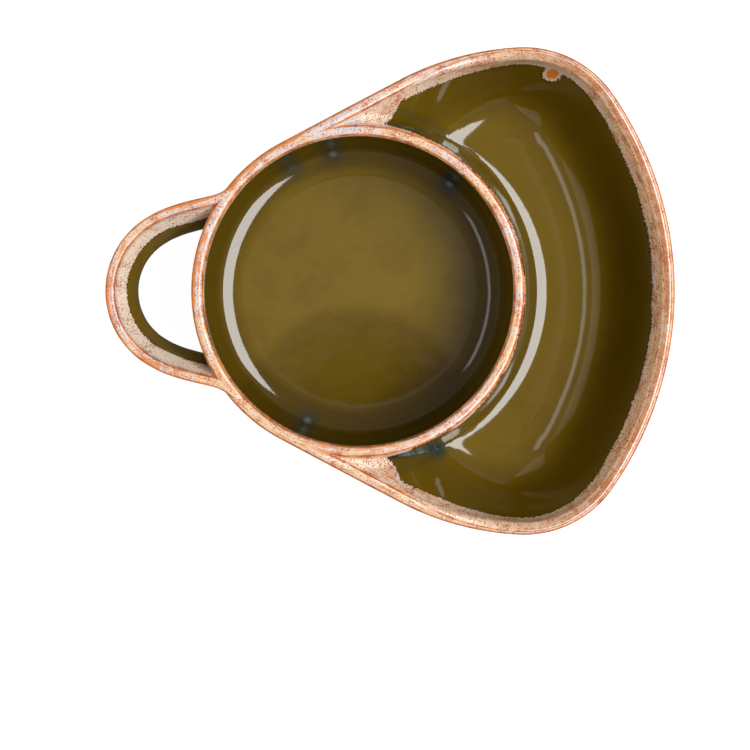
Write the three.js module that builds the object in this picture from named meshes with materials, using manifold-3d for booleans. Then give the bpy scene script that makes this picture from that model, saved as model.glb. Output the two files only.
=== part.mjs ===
// A stoneware divided bowl, in millimetres, +Z up. A round cup stands at one end, a crescent tray wraps
// the cup's other side, and a loop handle leaves the cup opposite the tray. The clay pieces are luted
// together before firing: a foot ring, a floor slab, the outer wall, the divider between cup and tray,
// the handle, and raised sprigs on the outside: stars, lengths of vine, pairs of berries and tendrils.
// The plan is drawn with the cup's axis at zero, +X towards the tray, and moved to its middle at the end.
import * as THREE from "three";
import { mergeVertices } from "three/addons/utils/BufferGeometryUtils.js";
import Module from "manifold-3d";

const wasm = await Module();
wasm.setup();

// Plan of the rim, seen from above
const cupRadius = 70.4; // outside of the cup's rim
const trayReach = 133.6; // cup axis to the tray's far rim
const halfWidth = 103; // long axis to the rim at a corner of the tray
const trayArc = 145; // plan radius of the tray's far edge
const cornerArc = 45.7; // plan radius of the tray's two corners
const shoulderArc = 120; // plan radius between a corner and its straight flank
const shoulderSet = 6.8; // how far a corner's arc lies inside the line of its flank

// Heights
const rimHeight = 57; // rim at the handle and round the cup's near half
const cupRimDrop = 3.8; // fall of the cup's rim towards the tray
const trayRimDrop = 8.7; // fall of the outer rim towards the tray
const footHeight = 2.2; // foot ring under the floor slab
const floorTop = 7; // inside floor

// Walls
const wall = 5.4; // thickness of the outer wall, and of the divider's rim
const cupFootInset = 7.7; // how far the foot lies inside the rim under the cup
const trayFootInset = 32; // the same under the tray's far edge
const cupBelly = 4.3; // power of the wall's curve under the cup: steep, then tucked in at the foot
const trayBelly = 1.62; // power of the wall's curve under the tray: an open flare
const dividerSpread = 10; // how much the divider widens towards the tray at its foot
const dividerBelly = 1.5; // power of that widening
const flankLean = 0.95; // how far a flank's inside leans in for each mm down, beside the cup
const cornerLean = 0.08; // the same at the tray's corners; at the tray's tip it has faded out
const leanDepth = 24; // depth over which that lean eases off
const cove = 9; // radius of the inside corners
const footWidth = 7; // width of the foot ring's standing face

// Handle, a leaning strap bent into a loop
const handleReach = 106.4; // cup axis to the loop's outer edge
const handleArc = 36.2; // plan radius of the loop's outer edge
const handleSplay = 18; // degrees by which the loop's two ends spread towards the cup
const handleDepth = 25; // height of the strap
const handleLean = 6; // how far the strap's lower edge lies inside its upper edge
const handleRim = 4.2; // thickness of the strap's upper edge
const handleHeel = 6.4; // thickness of the strap's lower edge
const handleRound = 1.6; // radius of the strap's edges

// Sprigs on the outside
const strapClear = 2.5; // from the handle to the berries beside it
const starRadius = 12.5; // centre of a star to a point
const starNotch = 5.3; // centre of a star to the notch between two points
const starRelief = 1.5; // thickness of a star
const vineWidth = 2.4;
const vineRelief = 1.2;
const stemWidth = 1.6;
const stemRelief = 0.9;
const berryRadius = 2.5;
const berryRelief = 1.7;

const jointGap = 0.3; // slip joint between two luted pieces

// How finely the curves are cut
const joinedSteps = 12; // half plan, along the stretch where the outer wall is also the cup's wall
const openSteps = 26; // half plan, along the tray
const wallRows = 6;
const lipSteps = 4;
const coveSteps = 3;
const ringSteps = 56; // round the divider
const vineStep = 5.4;

const { degToRad, lerp, smoothstep } = THREE.MathUtils;
const steps = (from, to, count) => Array.from({ length: count + 1 }, (_, i) => lerp(from, to, i / count));

// Materials, one for each glaze or clay that shows
const oliveGlaze = new THREE.MeshStandardMaterial({ color: 0x5b4a14, roughness: 0.18, metalness: 0 });
const handleGlaze = new THREE.MeshStandardMaterial({ color: 0xc3a78c, roughness: 0.25, metalness: 0 });
const sprigGlaze = new THREE.MeshStandardMaterial({ color: 0x80601f, roughness: 0.22, metalness: 0 });
const bareClay = new THREE.MeshStandardMaterial({ color: 0xc9a27c, roughness: 0.85, metalness: 0 });

// Half of the rim's plan, from behind the handle to the tray's far tip: the cup's arc, a straight flank,
// the shoulder, the corner and the tray's far edge, each running smoothly into the next.
const trayCentre = new THREE.Vector2(trayReach - trayArc, 0);
const cornerAside = halfWidth - cornerArc;
const cornerAlong = Math.sqrt((trayArc - cornerArc) ** 2 - cornerAside ** 2);
const cornerCentre = new THREE.Vector2(trayCentre.x + cornerAlong, cornerAside);
const cornerToFlank = cupRadius - cornerArc - shoulderSet;
const flankNormal = cornerCentre.angle() + Math.acos(cornerToFlank / cornerCentre.length());
const outward = new THREE.Vector2(Math.cos(flankNormal), Math.sin(flankNormal));
const forward = new THREE.Vector2(outward.y, -outward.x);
const shoulderFoot = outward.clone().multiplyScalar(cupRadius - shoulderArc);
const toFoot = shoulderFoot.clone().sub(cornerCentre);
const slide = toFoot.dot(forward);
const flankLength = -slide - Math.sqrt(slide ** 2 - toFoot.lengthSq() + (shoulderArc - cornerArc) ** 2);
const shoulderCentre = shoulderFoot.clone().addScaledVector(forward, flankLength);
const shoulderEnd = cornerCentre.clone().sub(shoulderCentre).angle();
const cornerEnd = cornerCentre.clone().sub(trayCentre).angle();
const rimPlan = new THREE.Path()
  .absarc(0, 0, cupRadius, Math.PI, flankNormal, true)
  .absarc(shoulderCentre.x, shoulderCentre.y, shoulderArc, flankNormal, shoulderEnd, true)
  .absarc(cornerCentre.x, cornerCentre.y, cornerArc, shoulderEnd, cornerEnd, true)
  .absarc(trayCentre.x, trayCentre.y, trayArc, cornerEnd, 0, true);

// Along a flank, the outer wall parts from the cup's wall where its inside meets the cup rim's outside.
const halfLength = rimPlan.getLength();
const cupLength = cupRadius * (Math.PI - flankNormal);
const partingAlong = Math.sqrt(cupRadius ** 2 - (cupRadius - wall) ** 2);
const partingPlan = (cupLength + partingAlong) / halfLength;
const partingX = rimPlan.getPoint(partingPlan).x;
const flareStart = outward.x * cupRadius;

const cupRim = (x) => rimHeight - cupRimDrop * smoothstep(x, partingX, cupRadius);
const outerRim = (x) => rimHeight - trayRimDrop * smoothstep(x, partingX, cornerCentre.x);

// A place on the rim's plan: the share of the half plan, and the side, -1 in front and 1 behind.
function station(plan, side, joined = false) {
  const point = rimPlan.getPoint(plan);
  const tangent = rimPlan.getTangent(plan);
  const flare = smoothstep(point.x, flareStart, trayReach);
  const lean = lerp(flankLean, cornerLean, smoothstep(point.x, 0, cornerCentre.x));
  return {
    x: point.x,
    y: side * point.y,
    nx: -tangent.y,
    ny: side * tangent.x,
    rim: outerRim(point.x),
    inset: lerp(cupFootInset, trayFootInset, flare),
    belly: lerp(cupBelly, trayBelly, flare),
    lean: lean * (1 - smoothstep(point.x, cornerCentre.x, trayReach)),
    pastCup: Math.max(plan * halfLength - cupLength, 0),
    joined,
  };
}

// The outside of the wall: its distance inside the rim's plan at a height, and how steeply that grows.
const below = (at, z) => Math.max(1 - z / at.rim, 0);
const outsideInset = (at, z) => at.inset * below(at, z) ** at.belly;
const outsideSlope = (at, z) => ((at.inset * at.belly) / at.rim) * below(at, z) ** (at.belly - 1);
const insideInset = (at, z) => outsideInset(at, z) + wall * Math.hypot(1, outsideSlope(at, z));
const place = (at, inset, z) => new THREE.Vector3(at.x - at.nx * inset, at.y - at.ny * inset, z);

// The inside of the cup, as a radius at a height under a rim of a given height.
const behind = station(0, 1);
const cupInside = (z, rim) => cupRadius - insideInset(behind, (z * rimHeight) / rim);

// The round plan in order, from behind the handle along the front to the tip and back along the other side.
const joinedPlan = steps(0, partingPlan, joinedSteps);
const openPlan = steps(partingPlan, 1, openSteps);
const front = [...joinedPlan.map((p) => station(p, -1, true)), ...openPlan.map((p) => station(p, -1))];
const back = [...joinedPlan.map((p) => station(p, 1, true)), ...openPlan.map((p) => station(p, 1))];
const roundPlan = [...front, ...back.slice(1, -1).reverse()];

// The face of a wall from its lip down to the floor: straight rows, then a cove that ends on the floor.
function facePoints(across, lipZ, inward) {
  const coveZ = floorTop + cove;
  const rows = steps(lipZ, coveZ, wallRows - 2).map((z) => [across(z), z]);
  const corner = steps(0, Math.PI / 2, coveSteps).slice(1);
  const coved = corner.map((a) => [
    across(coveZ) + inward * cove * (1 - Math.cos(a)),
    floorTop + cove * (1 - Math.sin(a)),
  ]);
  return [...rows, ...coved];
}

// The rounded lip between two faces at lipZ, without its two ends.
function lipPoints(from, to, lipZ) {
  const turn = steps(0, Math.PI, lipSteps).slice(1, -1);
  return turn.map((a) => [
    (from + to) / 2 + ((from - to) / 2) * Math.cos(a),
    lipZ + (wall / 2) * Math.sin(a),
  ]);
}

// The outer wall cut across at one place. Where it is joined to the cup, its inside is the cup's circle.
function wallSection(at, { grow = 0, lean = 0 } = {}) {
  const lipZ = at.rim - wall / 2;
  const roundCup = (z) => cupRadius - Math.sqrt(cupInside(z, at.rim) ** 2 - at.pastCup ** 2);
  const leanIn = (z) => lean * leanDepth * (1 - Math.exp((z - lipZ) / leanDepth));
  const across = (z) => (at.joined ? roundCup(z) : insideInset(at, z)) + leanIn(z) + grow;
  const outer = steps(floorTop, lipZ, wallRows - 1).map((z) => [outsideInset(at, z), z]);
  const section = [
    ...outer,
    ...lipPoints(outsideInset(at, lipZ), across(lipZ), lipZ),
    ...facePoints(across, lipZ, 1),
  ];
  return section.map(([inset, z]) => place(at, inset, z));
}

// The divider cut across at one angle round the cup's axis, and the room that it and the cup take up.
const around = (section, angle) =>
  section.map(([r, z]) => new THREE.Vector3(r * Math.cos(angle), r * Math.sin(angle), z));
function dividerSection(angle) {
  const rim = cupRim(cupRadius * Math.cos(angle));
  const lipZ = rim - wall / 2;
  const cupSide = (z) => cupInside(z, rim);
  const section = [
    ...facePoints(traySide(rim), lipZ, 1).reverse(),
    ...lipPoints(traySide(rim)(lipZ), cupSide(lipZ), lipZ),
    ...facePoints(cupSide, lipZ, -1),
  ];
  return around(section, angle);
}
const traySide = (rim) => (z) => cupRadius + dividerSpread * (1 - z / rim) ** dividerBelly;
function roomSection(angle) {
  const rim = cupRim(cupRadius * Math.cos(angle));
  const face = facePoints(traySide(rim), rim - wall / 2, 1).map(([r, z]) => [r + jointGap, z]);
  const [lipR] = face[0];
  const [footR] = face.at(-1);
  const over = 2 * rimHeight;
  const middleR = cupRadius / 2;
  return around([[middleR, over], [lipR, over], ...face, [footR, 0], [middleR, 0]], angle);
}

// A closed skin over rings of points. An endless row of rings closes on itself, and any other row is
// closed at each end round a middle point.
function skin(rings, { endless = false, ends = null } = {}) {
  const count = rings[0].length;
  const points = rings.flat();
  const triangles = [];
  const bands = endless ? rings.length : rings.length - 1;
  for (let i = 0; i < bands; i++) {
    const here = i * count;
    const next = ((i + 1) % rings.length) * count;
    for (let j = 0; j < count; j++) {
      const k = (j + 1) % count;
      triangles.push(here + j, next + j, next + k, here + j, next + k, here + k);
    }
  }
  if (!endless) {
    const middles = ends ?? [rings[0], rings.at(-1)].map(middle);
    const last = (rings.length - 1) * count;
    points.push(...middles);
    for (let j = 0; j < count; j++) {
      const k = (j + 1) % count;
      triangles.push(rings.length * count, j, k, rings.length * count + 1, last + k, last + j);
    }
  }
  const geometry = new THREE.BufferGeometry().setFromPoints(points);
  geometry.setIndex(triangles);
  return solid(geometry);
}

const middle = (ring) =>
  ring.reduce((sum, p) => sum.add(p), new THREE.Vector3()).divideScalar(ring.length);

// A geometry as a solid that faces outwards, with points that coincide merged.
function solid(geometry) {
  geometry.deleteAttribute("normal");
  geometry.deleteAttribute("uv");
  const merged = mergeVertices(geometry, 1e-4);
  const corners = [];
  for (let i = 0; i < merged.index.count; i += 3) {
    const [a, b, c] = [0, 1, 2].map((n) => merged.index.getX(i + n));
    if (a !== b && b !== c && c !== a) corners.push([a, b, c]);
  }
  const build = (turned) =>
    new wasm.Manifold(
      new wasm.Mesh({
        numProp: 3,
        vertProperties: merged.attributes.position.array,
        triVerts: new Uint32Array(corners.flatMap(([a, b, c]) => (turned ? [a, c, b] : [a, b, c]))),
      }),
    );
  const made = build(false);
  return made.volume() > 0 ? made : build(true);
}

const largest = (body) => body.decompose().reduce((a, b) => (b.volume() > a.volume() ? b : a));

// The whole bowl stands with its middle over the frame's zero. The tray's lip is the far end.
const tip = station(1, 1);
const lipReach = trayReach - outsideInset(tip, tip.rim - wall / 2);
const bowl = new THREE.Group();
bowl.position.x = (handleReach - lipReach) / 2;

function add(name, body, material) {
  const made = body.getMesh();
  const geometry = new THREE.BufferGeometry();
  geometry.setAttribute("position", new THREE.BufferAttribute(made.vertProperties, made.numProp));
  geometry.setIndex(new THREE.BufferAttribute(made.triVerts, 1));
  geometry.computeVertexNormals();
  const mesh = new THREE.Mesh(geometry, material);
  mesh.name = name;
  bowl.add(mesh);
}

// Foot ring, floor slab and outer wall, which stand on each other face to face. Along the tray the wall's
// inside leans in, as far as the divider.
const footRing = skin(
  roundPlan.map((at) => {
    const standing = outsideInset(at, 0);
    return [
      place(at, standing, 0),
      place(at, outsideInset(at, footHeight), footHeight),
      place(at, standing + footWidth, footHeight),
      place(at, standing + footWidth, 0),
    ];
  }),
  { endless: true },
);
const floorSlab = skin(
  steps(footHeight, floorTop, 2).map((z) => roundPlan.map((at) => place(at, outsideInset(at, z), z))),
);
const plainWall = skin(
  roundPlan.map((at) => wallSection(at)),
  { endless: true },
);
const ringAngles = steps(0, 2 * Math.PI, ringSteps).slice(0, -1);
const cupRoom = skin(ringAngles.map(roomSection), { endless: true });
const leaningWall = skin(
  roundPlan.filter((at) => !at.joined).map((at) => wallSection(at, { lean: at.lean })),
);
const outerWall = plainWall.add(leaningWall.subtract(cupRoom));
add("foot_ring", footRing, bareClay);
add("floor_slab", floorSlab, oliveGlaze);
add("outer_wall", outerWall, oliveGlaze);

// Divider: a ring round the cup, cut off square to each flank where the outer wall parts from the cup,
// and cut back from the outer wall's inside
const ring = skin(ringAngles.map(dividerSection), { endless: true });
const cutFrom = (partingAlong + jointGap) / forward.x;
const cutReach = trayReach + halfWidth;
const cutEnd = new THREE.Vector2(cutFrom, 0).addScaledVector(outward, cutReach);
const traySideShape = new THREE.Shape([
  new THREE.Vector2(cutFrom, 0),
  new THREE.Vector2(cutEnd.x, -cutEnd.y),
  new THREE.Vector2(cutReach, -cutEnd.y),
  new THREE.Vector2(cutReach, cutEnd.y),
  cutEnd,
]);
const traySidePrism = new THREE.ExtrudeGeometry(traySideShape, { depth: 2 * rimHeight, bevelEnabled: false });
const wallCutter = skin(
  roundPlan.map((at) => wallSection(at, { grow: jointGap })),
  { endless: true },
);
const divider = largest(ring.intersect(solid(traySidePrism)).subtract(wallCutter));
add("divider_wall", divider, oliveGlaze);

// Handle: the strap's section is swept round the loop and cut back from the outer wall's outside
function handleSection({ x, y, nx, ny }) {
  const rimOut = [-handleRound, rimHeight - handleRound];
  const rimIn = [handleRound - handleRim, rimHeight - handleRound];
  const heelOut = [-handleLean - handleRound, rimHeight - handleDepth + handleRound];
  const heelIn = [-handleLean - handleHeel + handleRound, rimHeight - handleDepth + handleRound];
  const turns = [
    [rimOut, 0, 90],
    [rimIn, 90, 180],
    [heelIn, 180, 270],
    [heelOut, 270, 360],
  ];
  return turns.flatMap(([centre, from, to]) =>
    steps(degToRad(from), degToRad(to), 2).map((a) => {
      const out = centre[0] + handleRound * Math.cos(a);
      return new THREE.Vector3(x + nx * out, y + ny * out, centre[1] + handleRound * Math.sin(a));
    }),
  );
}
const loopCentre = handleArc - handleReach;
const splayTurn = degToRad(90 + handleSplay);
const endNormal = new THREE.Vector2(Math.cos(splayTurn), Math.sin(splayTurn));
const loopEnd = new THREE.Vector2(loopCentre, 0).addScaledVector(endNormal, handleArc);
const endForward = new THREE.Vector2(endNormal.y, -endNormal.x);
const endLength = -loopEnd.x / endForward.x - wall;
const straight = steps(endLength, 0, 4).map((d) => {
  const p = loopEnd.clone().addScaledVector(endForward, d);
  return { x: p.x, y: p.y, nx: endNormal.x, ny: endNormal.y };
});
const bend = steps(splayTurn, Math.PI, 10).slice(1);
const bent = bend.map((a) => ({
  x: loopCentre + handleArc * Math.cos(a),
  y: handleArc * Math.sin(a),
  nx: Math.cos(a),
  ny: Math.sin(a),
}));
const halfLoop = [...straight, ...bent];
const otherHalf = halfLoop.slice(0, -1).reverse().map((p) => ({ ...p, y: -p.y, ny: -p.ny }));
const strap = skin([...halfLoop, ...otherHalf].map(handleSection));
const lipQuarter = (at) => {
  const lipZ = at.rim - wall / 2;
  return steps(0, Math.PI / 2, lipSteps / 2).map((a) => [
    outsideInset(at, lipZ) + (wall / 2) * (1 - Math.cos(a)),
    lipZ + (wall / 2) * Math.sin(a),
  ]);
};
const outsideRow = (pick) => roundPlan.map((at) => place(at, pick(at)[0] - jointGap, pick(at)[1]));
const plugRows = [
  ...steps(0, 1, wallRows - 1)
    .slice(0, -1)
    .map((share) => (at) => {
      const z = lerp(0, at.rim - wall / 2, share);
      return [outsideInset(at, z), z];
    }),
  ...steps(0, 1, lipSteps / 2).map((share, i) => (at) => lipQuarter(at)[i]),
];
const plug = skin([...plugRows.map(outsideRow), roundPlan.map((at) => place(at, wall / 2, 2 * rimHeight))]);
add("handle_loop", largest(strap.subtract(plug)), handleGlaze);

// Sprigs are drawn flat, as a distance along the wall and a rise from the vine's middle line, and laid on
// the outside of the wall, a slip joint clear of it. The room for them is from the foot to the handle's heel.
const sprigRoom = rimHeight - handleDepth - footHeight;
const sprigLevel = 0.63; // share of the room below the middle line
const sprigHeight = footHeight + sprigLevel * sprigRoom;
const sprigPlan = steps(0, 1, 4 * openSteps);
const sprigLine = new THREE.CatmullRomCurve3(
  sprigPlan.map((plan) => {
    const at = station(plan, 1);
    return place(at, outsideInset(at, sprigHeight), sprigHeight);
  }),
);
const halfGirth = sprigLine.getLength();

function onWall(along, rise, lift, side) {
  const pastTip = along > halfGirth;
  const within = Math.abs(pastTip ? 2 * halfGirth - along : along);
  const at = station(sprigLine.getUtoTmapping(within / halfGirth), pastTip || along < 0 ? -side : side);
  const z = sprigHeight + rise / Math.hypot(1, outsideSlope(at, sprigHeight));
  const slope = outsideSlope(at, z);
  const lean = Math.hypot(1, slope);
  return place(at, outsideInset(at, z) - lift / lean, z - (lift * slope) / lean);
}

// A raised line along a flat path, with a half round back of a given width and relief.
function raisedLine(path, width, relief, side, crown = 2) {
  const arch = steps(0, Math.PI, crown + 1).map((a) => [(width / 2) * Math.cos(a), relief * Math.sin(a)]);
  return skin(
    path.map((p, i) => {
      const ahead = path[Math.min(i + 1, path.length - 1)];
      const astern = path[Math.max(i - 1, 0)];
      const across = new THREE.Vector2(astern.y - ahead.y, ahead.x - astern.x).normalize();
      return arch.map(([aside, up]) =>
        onWall(p.x + across.x * aside, p.y + across.y * aside, jointGap + up, side),
      );
    }),
  );
}

// A star with a flat face and sloping edges. The middle ring keeps its back on the curve of the wall.
// A grown star is the cutter that keeps its neighbours a slip joint away.
function star([share, level, tilt], side, grow = 0) {
  const along = share * halfGirth;
  const rise = level * sprigRoom;
  const corner = (n, scale, trim) => {
    const r = (n % 2 ? starNotch + grow : starRadius + 2 * grow) * scale - trim;
    const a = Math.PI / 2 + degToRad(tilt) + (n * Math.PI) / 5;
    return new THREE.Vector2(r * Math.cos(a), r * Math.sin(a));
  };
  const outline = (scale, trim, lift) =>
    steps(0, 10, 20)
      .slice(0, -1)
      .map((n) => {
        const p = corner(Math.floor(n), scale, trim).lerp(corner(Math.floor(n) + 1, scale, trim), n % 1);
        return onWall(along + p.x, rise + p.y, lift, side);
      });
  const backLift = jointGap - grow;
  const faceLift = jointGap + starRelief + grow;
  return skin(
    [
      outline(0.5, 0, backLift),
      outline(1, 0, backLift),
      outline(1, grow ? 0 : starRelief / 3, faceLift),
      outline(0.5, 0, faceLift),
    ],
    { ends: [onWall(along, rise, backLift, side), onWall(along, rise, faceLift, side)] },
  );
}

// A berry: a low dome.
function berry(along, rise, side) {
  const round = (r, lift) =>
    steps(0, 2 * Math.PI, 8)
      .slice(0, -1)
      .map((a) => onWall(along + r * Math.cos(a), rise + r * Math.sin(a), lift, side));
  const dome = (a) => round(berryRadius * Math.cos(a), jointGap + berryRelief * Math.sin(a));
  const high = jointGap + berryRelief;
  return skin([dome(0), dome(Math.PI / 4)], {
    ends: [onWall(along, rise, jointGap, side), onWall(along, rise, high, side)],
  });
}

// Where the sprigs lie: shares of the way from behind the handle to the tray's tip, and rises as shares of
// the room. A star adds its tilt in degrees. Between two stars the vine has two strands, each drawn through
// its points and cut off where it runs under a star.
const stars = [
  [0.344, 0, -5],
  [0.558, 0, 7],
  [0.728, -0.117, -4],
  [1, -0.117, 0],
];
const vineBays = [
  [
    [
      [0.004, -0.181], [0.035, -0.114], [0.064, -0.04], [0.135, 0.228], [0.175, 0.309],
      [0.208, 0.242], [0.243, 0.067], [0.317, -0.285], [0.344, 0],
    ],
    [
      [0.004, -0.047], [0.035, -0.114], [0.059, -0.181], [0.099, -0.319], [0.144, -0.352],
      [0.185, -0.268], [0.243, 0.04], [0.307, 0.235], [0.344, 0],
    ],
  ],
  [
    [
      [0.344, 0], [0.377, 0.188], [0.444, 0.101], [0.472, 0.101], [0.522, 0.094], [0.558, 0],
    ],
    [
      [0.344, 0], [0.365, -0.235], [0.425, -0.174], [0.494, -0.315], [0.539, -0.268], [0.558, 0],
    ],
  ],
  [
    [
      [0.558, 0], [0.586, 0.013], [0.605, -0.154], [0.627, -0.369], [0.671, -0.456],
      [0.694, -0.285], [0.728, -0.117],
    ],
    [
      [0.558, 0], [0.58, -0.235], [0.605, -0.168], [0.636, -0.101], [0.684, -0.074],
      [0.728, -0.117],
    ],
  ],
  [
    [
      [0.728, -0.117], [0.76, -0.319], [0.81, -0.302], [0.865, -0.117], [0.93, 0.034],
      [1, -0.117],
    ],
    [
      [0.728, -0.117], [0.76, 0.067], [0.81, 0.067], [0.865, -0.117], [0.93, -0.282],
      [1, -0.117],
    ],
  ],
];

// Where the strap's outer face comes out of the wall at a height, as a distance along the wall.
function strapAlong(z) {
  const lean = (handleLean * (rimHeight - z)) / handleDepth;
  const from = loopEnd.clone().addScaledVector(endNormal, -lean);
  const ahead = -from.dot(endForward);
  const reach = ahead - Math.sqrt(ahead ** 2 - from.lengthSq() + cupRadius ** 2);
  const turn = Math.PI - from.addScaledVector(endForward, reach).angle();
  return turn * (cupRadius - outsideInset(behind, sprigHeight));
}

// Pairs of berries: where the stem leaves the vine, the two berries from there as shares of the room, and
// how far along the first berry's stem the second one's branches off. The first pair stands beside the
// handle.
const besideHandle = [[-0.248, 0.248], [0.02, 0.302]];
const besideRise = 0.336;
const besideHeight = sprigHeight + (besideRise + besideHandle[0][1]) * sprigRoom;
const besideAlong = strapAlong(besideHeight) + strapClear + berryRadius - besideHandle[0][0] * sprigRoom;
const berryPairs = [
  [[besideAlong / halfGirth, besideRise], ...besideHandle, 0.15],
  [[0.281, 0.215], [-0.406, 0.38], [-0.131, 0.436], 0.37],
  [[0.23, -0.087], [-0.255, -0.369], [0.05, -0.376], 0],
  [[0.446, 0.141], [-0.436, 0.423], [-0.171, 0.443], 0.4],
  [[0.669, -0.49], [-0.872, 0.02], [-0.685, -0.148], 0.5],
  [[0.81, 0.107], [-0.302, 0.349], [-0.067, 0.403], 0.35],
];

// Tendrils: where they leave the vine, and the lines of the hook and its tail from there, as shares of the
// room.
const tendrilRoots = [
  [0.479, -0.322],
  [0.945, -0.315],
];
const tendrilHook = [
  [0, 0], [-0.154, -0.054], [-0.315, -0.091], [-0.372, -0.164], [-0.315, -0.232], [-0.242, -0.195],
];
const tendrilTail = [[-0.349, -0.215], [-0.443, -0.228], [-0.537, -0.262]];

const flat = (points) => points.map(([share, rise]) => new THREE.Vector2(share * halfGirth, rise * sprigRoom));
const offset = (from, [x, y]) => new THREE.Vector2(x, y).multiplyScalar(sprigRoom).add(from);
const spline = (points, step) => {
  const curve = new THREE.SplineCurve(points);
  return curve.getSpacedPoints(Math.ceil(curve.getLength() / step));
};
const fuse = (bodies) => bodies.reduce((a, b) => a.add(b));

function vineStrand(points, side, grow = 0) {
  return raisedLine(spline(flat(points), vineStep), vineWidth + 2 * grow, vineRelief + 2 * grow, side);
}

function stemLine(points, step, side) {
  return raisedLine(spline(points, step), stemWidth, stemRelief, side, 1);
}

function berryPair([root, first, second, fork], side) {
  const from = flat([root])[0];
  const ends = [first, second].map((end) => offset(from, end));
  const branch = from.clone().lerp(ends[0], fork);
  return fuse([
    stemLine([from, ends[0]], vineStep, side),
    stemLine([branch, ends[1]], vineStep, side),
    ...ends.map((end) => berry(end.x, end.y, side)),
  ]);
}

function tendril(root, side) {
  const from = flat([root])[0];
  const line = (points) => stemLine(points.map((p) => offset(from, p)), vineStep / 3, side);
  return line(tendrilHook).add(line(tendrilTail));
}

add("star_tip", star(stars.at(-1), 1), sprigGlaze);
for (const [sideName, side] of [["front", -1], ["back", 1]]) {
  stars.slice(0, -1).forEach((at, i) => {
    add(`star_${sideName}_${i + 1}`, star(at, side), sprigGlaze);
  });
  const starCutter = fuse(stars.map((at) => star(at, side, jointGap)));
  const vineCutter = fuse(vineBays.flat().map((points) => vineStrand(points, side, jointGap)));
  vineBays.forEach((strands, i) => {
    const cut = strands.map((points) => largest(vineStrand(points, side).subtract(starCutter)));
    const both = cut[0].add(cut[1]);
    const name = `vine_${sideName}_${i + 1}`;
    if (both.decompose().length === 1) {
      add(name, both, sprigGlaze);
    } else {
      add(`${name}_upper`, cut[0], sprigGlaze);
      add(`${name}_lower`, cut[1], sprigGlaze);
    }
  });
  const clear = (body) => largest(body.subtract(vineCutter).subtract(starCutter));
  berryPairs.forEach((pair, i) => {
    add(`berries_${sideName}_${i + 1}`, clear(berryPair(pair, side)), sprigGlaze);
  });
  tendrilRoots.forEach((root, i) => {
    add(`tendril_${sideName}_${i + 1}`, clear(tendril(root, side)), sprigGlaze);
  });
}

export default bowl;
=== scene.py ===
from bisect import bisect_left
from math import acos, atan2, cos, degrees, exp, hypot, pi, radians, sin, sqrt
import bmesh
import bpy
from mathutils import Matrix, Vector, kdtree


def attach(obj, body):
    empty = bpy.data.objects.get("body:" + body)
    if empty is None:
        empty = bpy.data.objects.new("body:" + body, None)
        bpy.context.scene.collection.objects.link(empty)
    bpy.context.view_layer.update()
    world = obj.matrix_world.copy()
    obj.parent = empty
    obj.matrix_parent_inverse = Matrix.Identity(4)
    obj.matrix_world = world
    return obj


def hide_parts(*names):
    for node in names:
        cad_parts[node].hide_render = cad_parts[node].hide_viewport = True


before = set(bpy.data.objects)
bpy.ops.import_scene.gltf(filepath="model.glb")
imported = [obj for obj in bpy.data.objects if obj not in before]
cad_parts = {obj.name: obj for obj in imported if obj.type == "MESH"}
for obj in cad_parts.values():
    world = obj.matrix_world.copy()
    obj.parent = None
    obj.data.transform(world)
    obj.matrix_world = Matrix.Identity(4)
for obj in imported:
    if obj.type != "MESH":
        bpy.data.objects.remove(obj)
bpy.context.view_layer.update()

# Sizes are in millimetres round the cup's axis, +X to the tray; newPiece takes them to the frame's metres.
plan = {
    "cupRadius": 70.4, "trayReach": 133.6, "halfWidth": 102.99,
    "trayArc": 145.0, "cornerArc": 45.7, "shoulderArc": 120.0, "shoulderSet": 6.8,
    "rim": 56.999, "cupDrop": 3.8, "trayDrop": 8.7, "wall": 5.4, "floor": 7.0, "foot": 2.2,
    "cupInset": 7.7, "trayInset": 32.0, "cupBelly": 4.3, "trayBelly": 1.62,
    "flankLean": 0.95, "cornerLean": 0.08, "leanDepth": 24.0, "leanFade": (-30, -10),
    "axisX": -13.4504,  # the cup's axis in the frame
}
halfWall = plan["wall"] / 2
ridge = plan["cupRadius"] - halfWall  # top of the cup's rim
lipRun = halfWall * pi / 2  # from a lip's top round to its wall


def mix(a, b, t):
    return a + (b - a) * t


def ease(v, low, high):  # from 0 at low to 1 at high, smoothly
    t = min(max((v - low) / (high - low), 0), 1)
    return t * t * (3 - 2 * t)


def bell(v, middle, half):  # 1 in the middle, falling off to both sides
    return exp(-((v - middle) / half) ** 2)


def softMax(a, b, k):  # the larger, rounded where the two are within k
    if k <= 0:
        return max(a, b)
    return max(a, b) + max(k - abs(a - b), 0) ** 2 / (4 * k)


def table(xs, ys, x):  # straight-line lookup, xs rising
    k = min(max(bisect_left(xs, x), 1), len(xs) - 1)
    t = (x - xs[k - 1]) / max(xs[k] - xs[k - 1], 1e-9)
    return mix(ys[k - 1], ys[k], min(max(t, 0), 1))


def spaced(path, count, bend):  # points along a path, closer together where it turns
    cost = [0.0]
    for k in range(1, len(path)):
        step = path[k] - path[k - 1]
        turn = step.angle(path[k + 1] - path[k], 0) if k + 1 < len(path) else 0
        cost.append(cost[-1] + step.length + bend * turn)
    marks = [cost[-1] * k / (count - 1) for k in range(count)]
    axes = list(zip(*path))
    return [Vector([table(cost, axis, m) for axis in axes]) for m in marks]


def treeOf(points):  # finds the nearest of some flat points
    tree = kdtree.KDTree(len(points))
    for k, p in enumerate(points):
        tree.insert((p.x, p.y, 0), k)
    tree.balance()
    return tree


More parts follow.
